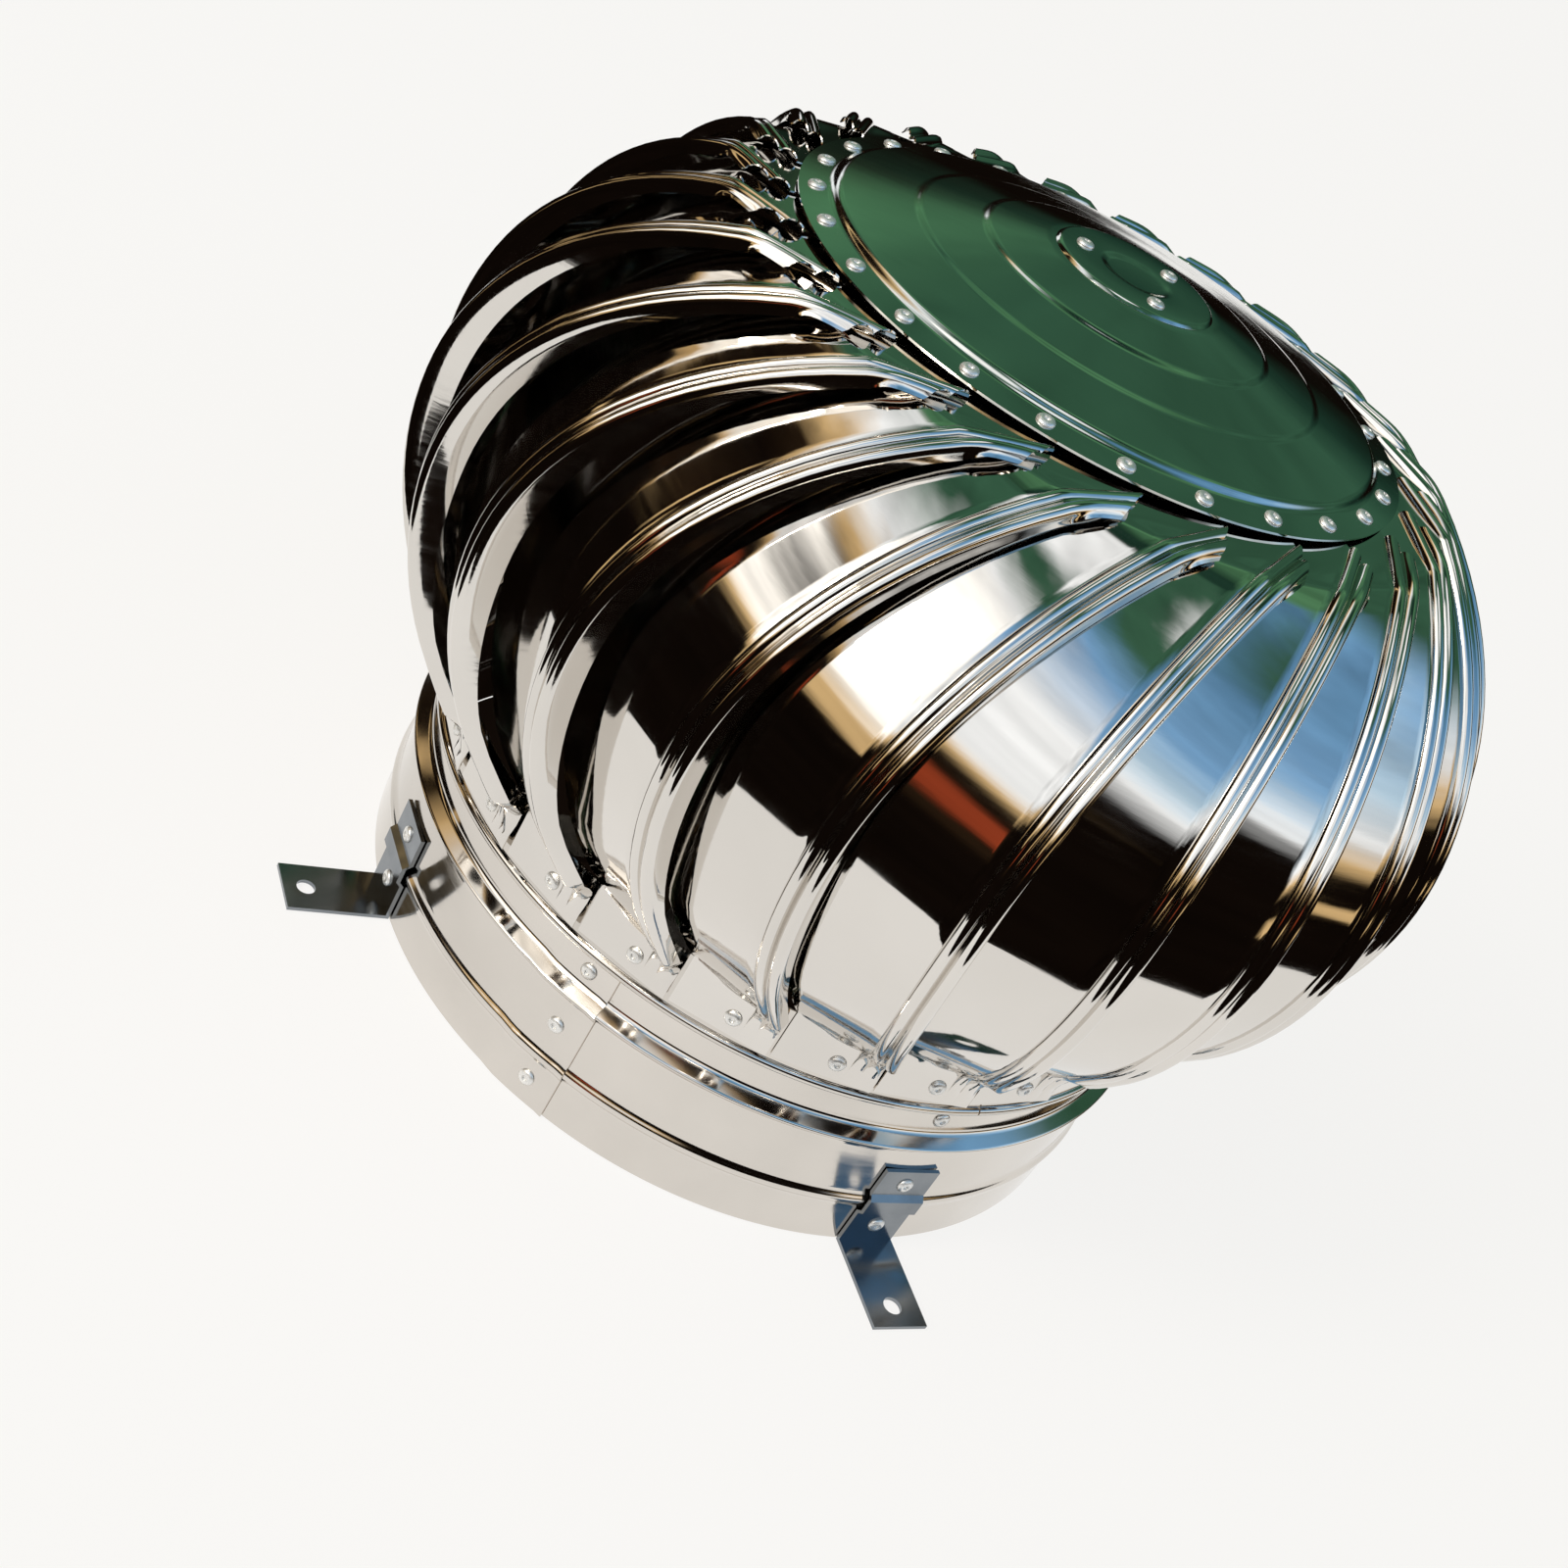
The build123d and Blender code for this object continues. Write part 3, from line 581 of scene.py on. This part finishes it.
def neck_rows():
    """Rows round the neck; the last ones climb over the first, and their free edge stands off a little."""
    outline = neck_outline()
    steps = 300
    arc = 360.0 + SEAM_LAP
    rows = []
    for index in range(steps + 1):
        gone = arc * index / steps
        over = smoothstep((gone - 360.0 + SEAM_CLIMB) / SEAM_CLIMB) * (NECK_SHEET - SEAM_SINK)
        over += smoothstep((gone - arc + SEAM_FREE_EDGE) / SEAM_FREE_EDGE) * SEAM_LIFT
        azimuth = SEAM_AZIMUTH + gone - SEAM_LAP
        rows.append([polar(radius + over, azimuth, z) for radius, z in outline])
    return [row[::-1] for row in rows]


neck = piece_from("neck_sheet_metal", *sheet(neck_rows(), NECK_SHEET))
dress(neck, "base", "neck_sheet", neck_metal, "base_collar")

seam_heads = []
for z in SEAM_RIVET_HEIGHTS:
    band = TOP_BAND_RADIUS if z > UPPER_BEAD_Z else NECK_RADIUS
    azimuth = SEAM_AZIMUTH - SEAM_RIVET_TWIST
    seam_heads.append(rivet(polar(band + NECK_SHEET + SEAT_GAP, azimuth, z), polar(1, azimuth, 0)))
seam_rivets = piece_from("seam_rivet_heads", *join_meshes(seam_heads))
dress(seam_rivets, "base", "rivets", rivet_metal, "collar_seam_rivets")

strap_heads = []
for azimuth in STRAP_AZIMUTHS:
    for z in STRAP_RIVET_HEIGHTS:
        strap_heads.append(rivet(polar(STRAP_RIVET_RADIUS, azimuth, z), polar(1, azimuth, 0)))
strap_rivets = piece_from("strap_rivet_heads", *join_meshes(strap_heads))
dress(strap_rivets, "base", "rivets", rivet_metal, "strap_rivets")

bar_heads = []
for azimuth in BAR_RIVET_AZIMUTHS:
    bar_heads.append(rivet(polar(TOP_BAND_RADIUS + SEAT_GAP, azimuth, BAR_RIVET_Z), polar(1, azimuth, 0)))
bar_rivets = piece_from("bar_rivet_heads", *join_meshes(bar_heads))
dress(bar_rivets, "base", "rivets", rivet_metal, "cross_bar_rivets")

# Turning ring, with its edge rolled round a wire and its ends butted


def ring_outline():
    centre = (RING_RADIUS, RING_BOTTOM_Z + WIRE_DIAMETER / 2)
    outline = [(RING_RADIUS, RING_TOP_Z), (RING_RADIUS, RING_BOTTOM_Z + WIRE_DIAMETER + ROLL_GAP)]
    for degrees in ROLL_ANGLES:
        angle = math.radians(degrees)
        outline.append((
            centre[0] + WIRE_DIAMETER / 2 * math.cos(angle),
            centre[1] + WIRE_DIAMETER / 2 * math.sin(angle),
        ))
    inner = RING_RADIUS - RING_SHEET
    outline += [(inner, RING_BOTTOM_Z), (inner, RING_TOP_Z)]
    return outline


def open_ring(outline, start, arc, segments=300):
    """Corners and faces of a ring with a closed outline and a small break at its ends."""
    width = len(outline)
    rows = lathe(outline, segments, start, arc)
    corners = [point for row in rows for point in row]
    faces = []
    for i in range(segments):
        here = i * width
        there = here + width
        for j in range(width):
            k = (j + 1) % width
            faces.append((here + j, here + k, there + k, there + j))
    faces.append(tuple(reversed(range(width))))
    faces.append(tuple(range(segments * width, segments * width + width)))
    return corners, faces


ring_start = RING_JOINT_AZIMUTH + RING_JOINT_GAP / 2
ring = piece_from("ring_sheet_metal", *open_ring(ring_outline(), ring_start, 360.0 - RING_JOINT_GAP))
dress(ring, "turbine", "neck_sheet", neck_metal, "rotor_ring")

ring_heads = []
half = math.radians(TAB_SPAN / 2)
aside = half - math.radians(RING_RIVET_STEP_BACK)
rivet_seat = TAB_RADIUS * math.cos(half) / math.cos(aside) + SEAT_GAP
for index in range(BLADE_COUNT):
    foot = FIRST_BLADE_AZIMUTH + ridge_twist(FOLD_RADIUS, LOWER_RIDGE_PLANE) + index * PITCH
    place = polar(rivet_seat, foot - RING_RIVET_STEP_BACK, RING_RIVET_Z)
    ring_heads.append(rivet(place, polar(1, foot - TAB_SPAN / 2, 0), index))
ring_rivets = piece_from("ring_rivet_heads", *join_meshes(ring_heads))
dress(ring_rivets, "turbine", "rivets", rivet_metal, "ring_rivets")

# Crown, hub plate and their rivets


def crown_outline():
    points = [(CROWN_RADIUS, CROWN_EDGE_Z)]
    for step_radius, rise in CROWN_STEPS:
        radius, z = points[-1]
        foot_z = z + (radius - step_radius) * CROWN_SLOPE
        points.append((step_radius, foot_z))
        points.append((step_radius - CROWN_STEP_WIDTH, foot_z + rise))
    radius, z = points[-1]
    flat_z = z + (radius - CROWN_FLAT_RADIUS) * CROWN_SLOPE
    points.append((CROWN_FLAT_RADIUS, flat_z))
    points.append((CENTRE_RADIUS, flat_z))
    return rounded(points, CROWN_BEND, 6), flat_z


crown_line, crown_flat_z = crown_outline()
crown_sheet = sheet(lathe(crown_line[::-1]), CROWN_SHEET, closed=True)
crown = piece_from("crown_sheet_metal", *crown_sheet, sharp=60.0)
dress(crown, "turbine", "crown_sheet", crown_metal, "crown_plate")

crown_heads = []
slope = math.atan(CROWN_SLOPE)
rivet_z = CROWN_EDGE_Z + (CROWN_RADIUS - CROWN_RIVET_CIRCLE) * CROWN_SLOPE + SEAT_GAP
for index in range(BLADE_COUNT):
    azimuth = FIRST_BLADE_AZIMUTH + CROWN_RIVET_TWIST + index * PITCH
    direction = polar(math.sin(slope), azimuth, math.cos(slope))
    crown_heads.append(rivet(polar(CROWN_RIVET_CIRCLE, azimuth, rivet_z), direction, index))
crown_rivets = piece_from("crown_rivet_heads", *join_meshes(crown_heads))
dress(crown_rivets, "turbine", "rivets", rivet_metal, "crown_rivets")

hub_bottom = crown_flat_z + SEAT_GAP
hub_top = hub_bottom + HUB_PLATE_THICKNESS
dimple_z = hub_top - HUB_DIMPLE_DEPTH
hub_line = rounded([
    (HUB_PLATE_RADIUS, hub_bottom), (HUB_PLATE_RADIUS - HUB_PLATE_THICKNESS, hub_top),
    (HUB_DIMPLE_RADII[0], hub_top), (HUB_DIMPLE_RADII[1], dimple_z), (CENTRE_RADIUS, dimple_z),
], HUB_BEND, 4)
hub_sheet = sheet(lathe(hub_line[::-1], 160), HUB_SHEET, closed=True)
hub_plate = piece_from("hub_plate_metal", *hub_sheet, sharp=60.0)
dress(hub_plate, "turbine", "crown_sheet", crown_metal, "hub_plate")

hub_heads = []
for azimuth in HUB_RIVET_AZIMUTHS:
    hub_heads.append(rivet(polar(HUB_RIVET_CIRCLE, azimuth, hub_top + SEAT_GAP), Vector((0, 0, 1))))
hub_rivets = piece_from("hub_rivet_heads", *join_meshes(hub_heads))
dress(hub_rivets, "turbine", "rivets", rivet_metal, "hub_rivets")

# Blades, one mesh each

blade_corners, blade_faces = sheet(blade_rows(), BLADE_SHEET)
for index in range(BLADE_COUNT):
    number = index + 1
    corners = turned(blade_corners, FIRST_BLADE_AZIMUTH + index * PITCH)
    blade = piece_from(f"blade_sheet_metal_{number:02d}", corners, blade_faces, sharp=50.0)
    dress(blade, "turbine", "blade_sheet", blade_metal, f"blade_{number:02d}")

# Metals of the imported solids, and soft edges on the straps


def coat(name, material, edge=None):
    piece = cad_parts[name]
    piece.data.materials.clear()
    piece.data.materials.append(material)
    if edge:
        bevel = piece.modifiers.new("edge", "BEVEL")
        bevel.width = edge * MM
        bevel.segments = 2
        bevel.limit_method = "ANGLE"
        bevel.angle_limit = math.radians(40)


for number in (1, 2, 3, 4):
    coat(f"mounting_strap_{number}", strap_metal, STRAP_EDGE)
for name in ("lower_cross_bar", "upper_cross_bar", "rotor_spider", "upper_bearing_housing"):
    coat(name, bracket_metal)
for name in ("spindle", "spindle_nuts"):
    coat(name, spindle_metal)
for name in ("bearing_inner_races", "bearing_outer_races"):
    coat(name, bearing_metal)
coat("spider_rivets", rivet_metal)
for name in ("base_collar", "collar_seam_rivets", "strap_rivets", "cross_bar_rivets", "rotor_ring"):
    coat(name, neck_metal)
for name in ("ring_rivets", "crown_rivets", "hub_rivets"):
    coat(name, rivet_metal)
for name in ("crown_plate", "hub_plate"):
    coat(name, crown_metal)
for index in range(BLADE_COUNT):
    coat(f"blade_{index + 1:02d}", blade_metal)

# Studio walls

# Soft bands of colour by azimuth and elevation, the same for every kind of ray, for the bright metal to
# mirror. Low down, past the edges of the floor, the room is dark

EARTH = (0.005, 0.003, 0.002)
BARK = (0.018, 0.010, 0.005)
GOLD = (0.80, 0.55, 0.26)
EMBER = (0.34, 0.055, 0.02)
GLARE = (1.70, 1.66, 1.58)
HAZE = (1.12, 1.16, 1.20)
SKY_PALE = (0.58, 0.80, 1.00)
SKY = (0.22, 0.45, 0.76)
SKY_DEEP = (0.12, 0.29, 0.50)
LEAF = (0.040, 0.115, 0.068)
LEAF_LIGHT = (0.10, 0.27, 0.13)
LEAF_DARK = (0.012, 0.040, 0.026)

TREES = ((4.0, EARTH), (12.0, LEAF_DARK), (20.0, LEAF), (45.0, LEAF), (56.0, LEAF_LIGHT), (70.0, LEAF_DARK))
HEDGE = (
    (6.0, EARTH), (14.0, BARK), (22.0, LEAF_LIGHT), (40.0, LEAF), (56.0, LEAF_LIGHT), (72.0, LEAF_DARK),
)
SHADE = ((8.0, EARTH), (16.0, BARK), (32.0, EARTH), (40.0, BARK), (46.0, GOLD), (54.0, HAZE), (66.0, LEAF))
LOW_SUN = ((9.0, EARTH), (12.0, GOLD), (17.0, GLARE), (56.0, GLARE), (66.0, HAZE), (74.0, LEAF))
MIST = ((12.0, EARTH), (16.0, GOLD), (20.0, HAZE), (42.0, HAZE), (62.0, SKY), (74.0, LEAF))
HIGH_SKY = ((20.0, EARTH), (27.0, HAZE), (36.0, SKY_PALE), (46.0, SKY), (62.0, SKY_DEEP), (72.0, LEAF))
WIDE_SKY = (
    (2.0, EARTH), (7.0, GOLD), (13.0, HAZE), (24.0, SKY_PALE), (38.0, SKY), (56.0, SKY_DEEP), (66.0, LEAF),
)

# Each wall starts at an azimuth, blends in over some degrees, and holds its colours by elevation
WALLS = (
    (60.0, 0.0, TREES), (98.0, 22.0, HEDGE), (128.0, 10.0, SHADE), (196.0, 8.0, LOW_SUN),
    (246.0, 10.0, MIST), (284.0, 12.0, HIGH_SKY), (330.0, 10.0, WIDE_SKY), (390.0, 14.0, TREES),
)

# The walls give way to a pale ceiling between these elevations
CEILING_EDGE = (77.0, 83.0)

# Strip lights and dark panels on the walls: azimuth, elevation, half width, half height, colour
WALL_PATCHES = (
    (262.0, 3.0, 10.0, 9.0, BARK),
    (264.0, 4.0, 4.0, 4.5, EMBER),
    (233.0, 9.0, 8.0, 3.0, GOLD),
    (178.0, 22.0, 2.5, 16.0, GOLD),
    (152.0, 30.0, 2.0, 12.0, GOLD),
    (190.0, 2.0, 2.0, 14.0, GOLD),
    (126.0, 13.0, 10.0, 4.0, HAZE),
    (350.0, -9.0, 16.0, 3.0, GOLD),
    (162.0, 8.0, 5.0, 2.0, GOLD),
)

# A patch fades in between these shares of its half size, from outside to inside
PATCH_EDGE = (1.25, 0.5)


def level_share(elevation):
    """Elevation in degrees as a share of the way from straight down to straight up."""
    return (elevation + 90.0) / 180.0


def walls(graph, direction):
    """Colour of the studio walls in a direction, with uneven edges."""
    x, y, z = graph.add("ShaderNodeSeparateXYZ", {0: direction}).outputs
    to_degrees = math.degrees(1.0)
    height = graph.calc("MULTIPLY", graph.calc("ARCSINE", z), to_degrees)
    height = graph.calc("ADD", height, graph.rough(direction, 3.5, 2.0, 2.0))
    height = graph.calc("ADD", height, graph.rough(direction, 16.0, 3.0, 1.2))
    level = graph.calc("DIVIDE", graph.calc("ADD", height, 90.0), 180.0)
    azimuth = graph.calc("MULTIPLY", graph.calc("ARCTAN2", y, x), to_degrees)
    uneven = graph.calc("ADD", azimuth, graph.rough(direction, 7.0, 3.0, 3.0))
    first = WALLS[0][0]
    past_first = graph.calc("FLOORED_MODULO", graph.calc("SUBTRACT", uneven, first), 360.0)
    colour = None
    for start, width, stops in WALLS:
        wall = graph.ramp(level, [(level_share(elevation), shade) for elevation, shade in stops])
        share = graph.step(past_first, start - first, start - first + width)
        colour = graph.blend(share, colour, wall) if colour else wall
    colour = graph.blend(graph.step(height, *CEILING_EDGE), colour, (*HAZE, 1.0))
    around = graph.calc("FLOORED_MODULO", azimuth, 360.0)
    for place, elevation, half_width, half_height, shade in WALL_PATCHES:
        aside = graph.calc("DIVIDE", graph.calc("SUBTRACT", around, place), half_width)
        above = graph.calc("DIVIDE", graph.calc("SUBTRACT", height, elevation), half_height)
        apart = graph.calc("MAXIMUM", graph.calc("ABSOLUTE", aside), graph.calc("ABSOLUTE", above))
        colour = graph.blend(graph.step(apart, *PATCH_EDGE), colour, (*shade, 1.0))
    patchy = graph.calc("ADD", graph.rough(direction, 7.0, 4.0, 0.3), 1.0)
    return graph.vector("SCALE", {0: colour, "Scale": patchy})


world = bpy.data.worlds.new("studio")
bpy.context.scene.world = world
world.use_nodes = True
world.node_tree.nodes.clear()
graph = Graph(world.node_tree)
direction = graph.add("ShaderNodeTexCoord").outputs["Generated"]
backdrop = graph.add("ShaderNodeBackground", {"Color": walls(graph, direction), "Strength": 1.0})
graph.add("ShaderNodeOutputWorld", {"Surface": backdrop.outputs[0]})

# Floor sheet

# It is just larger than the photograph's frame, with an opening under the neck. Part of its white shows
# alike to the camera and in the metal, and the rest of it takes the light and the shadow

FLOOR_Z = -0.5
FLOOR_OPENING_RADIUS = NECK_RADIUS - 1.0
FLOOR_PAINT = (0.90, 0.86, 0.81, 1.0)
FLOOR_WHITE = (1.0, 0.985, 0.965, 1.0)
FLOOR_WHITE_SHARE = 0.85

# Azimuth that each side of the floor faces, and its distance from the axis in metres
FLOOR_SIDES = ((217.0, 0.36), (299.0, 0.36), (4.5, 0.46), (90.0, 4.80), (170.7, 0.75))
LEAST_FACING = 0.01


def floor_reach(azimuth):
    """How far the floor goes from the axis before it meets the first of its sides."""
    reaches = []
    for side, distance in FLOOR_SIDES:
        facing = math.cos(math.radians(azimuth - side))
        if facing > LEAST_FACING:
            reaches.append(distance / facing)
    return min(reaches)


def floor_rows():
    """From the edge of the roof opening under the neck, outwards all round."""
    rows = []
    for azimuth in range(361):
        reach = floor_reach(azimuth) / MM
        rows.append([polar(FLOOR_OPENING_RADIUS, azimuth, FLOOR_Z), polar(reach, azimuth, FLOOR_Z)])
    return rows


floor = piece_from("floor", *grid(floor_rows()))
floor_material = bpy.data.materials.new("floor_paint")
floor_material.use_nodes = True
floor_material.node_tree.nodes.clear()
graph = Graph(floor_material.node_tree)
diffuse = graph.add("ShaderNodeBsdfDiffuse", {"Color": FLOOR_PAINT})
white = graph.add("ShaderNodeEmission", {"Color": FLOOR_WHITE, "Strength": 1.0})
light_path = graph.add("ShaderNodeLightPath")
seen = graph.calc("MAXIMUM", light_path.outputs["Is Camera Ray"], light_path.outputs["Is Glossy Ray"])
seen = graph.calc("MAXIMUM", seen, light_path.outputs["Is Transmission Ray"])
share = graph.calc("MULTIPLY", seen, FLOOR_WHITE_SHARE)
surface = graph.add("ShaderNodeMixShader", {0: share, 1: diffuse.outputs[0], 2: white.outputs[0]})
graph.add("ShaderNodeOutputMaterial", {"Surface": surface.outputs[0]})
floor.data.materials.append(floor_material)

# Lamp, high at the front left, with its place, target and size in metres


def soft_lamp(name, place, target, size, power, colour):
    lamp = bpy.data.lights.new(name, "AREA")
    lamp.shape = "RECTANGLE"
    lamp.size, lamp.size_y = size
    lamp.energy = power
    lamp.color = colour
    holder = bpy.data.objects.new(name, lamp)
    holder.location = place
    aim = Vector(target) - Vector(place)
    holder.rotation_euler = aim.to_track_quat("-Z", "Y").to_euler()
    bpy.context.scene.collection.objects.link(holder)


soft_lamp(
    "key", place=(-1.2, -1.6, 1.6), target=(0.0, 0.0, 0.15), size=(0.5, 0.8), power=18.0,
    colour=(1.0, 0.96, 0.88),
)

# Camera, at the photograph's place and angle

# Side and dip tilt its view away from the target, as shares of the distance, and its range is in metres
CAMERA_ELEVATION = 25.4534
CAMERA_DISTANCE = 759.67
CAMERA_TARGET_Z = 181.82
CAMERA_SIDE = -0.016835
CAMERA_DIP = -0.123094
CAMERA_ROLL = 31.3059
CAMERA_AZIMUTH = 5.8
CAMERA_LENS = 48.712
CAMERA_SENSOR = 36.0
CAMERA_RANGE = (0.02, 60.0)


def photo_camera():
    elevation = math.radians(CAMERA_ELEVATION)
    back = Vector((0.0, -math.cos(elevation), math.sin(elevation)))
    place = back * CAMERA_DISTANCE + Vector((0.0, 0.0, CAMERA_TARGET_Z))
    right = Vector((1.0, 0.0, 0.0))
    up = right.cross(-back)
    ahead = (-back + right * CAMERA_SIDE + up * CAMERA_DIP).normalized()
    level = ahead.cross(up).normalized()
    above = level.cross(ahead)
    roll = math.radians(CAMERA_ROLL)
    image_right = level * math.cos(roll) + above * math.sin(roll)
    image_up = above * math.cos(roll) - level * math.sin(roll)
    axes = Matrix((image_right, image_up, -ahead)).transposed().to_4x4()
    lens = bpy.data.cameras.new("photo_camera")
    lens.lens = CAMERA_LENS
    lens.sensor_fit = "HORIZONTAL"
    lens.sensor_width = CAMERA_SENSOR
    lens.clip_start, lens.clip_end = CAMERA_RANGE
    holder = bpy.data.objects.new("photo_camera", lens)
    stand = Matrix.Rotation(math.radians(CAMERA_AZIMUTH), 4, "Z") @ Matrix.Translation(place * MM)
    holder.matrix_world = stand @ axes
    bpy.context.scene.collection.objects.link(holder)
    return holder


bpy.context.scene.camera = photo_camera()
bpy.context.scene.view_settings.view_transform = "Standard"

bpy.context.view_layer.update()
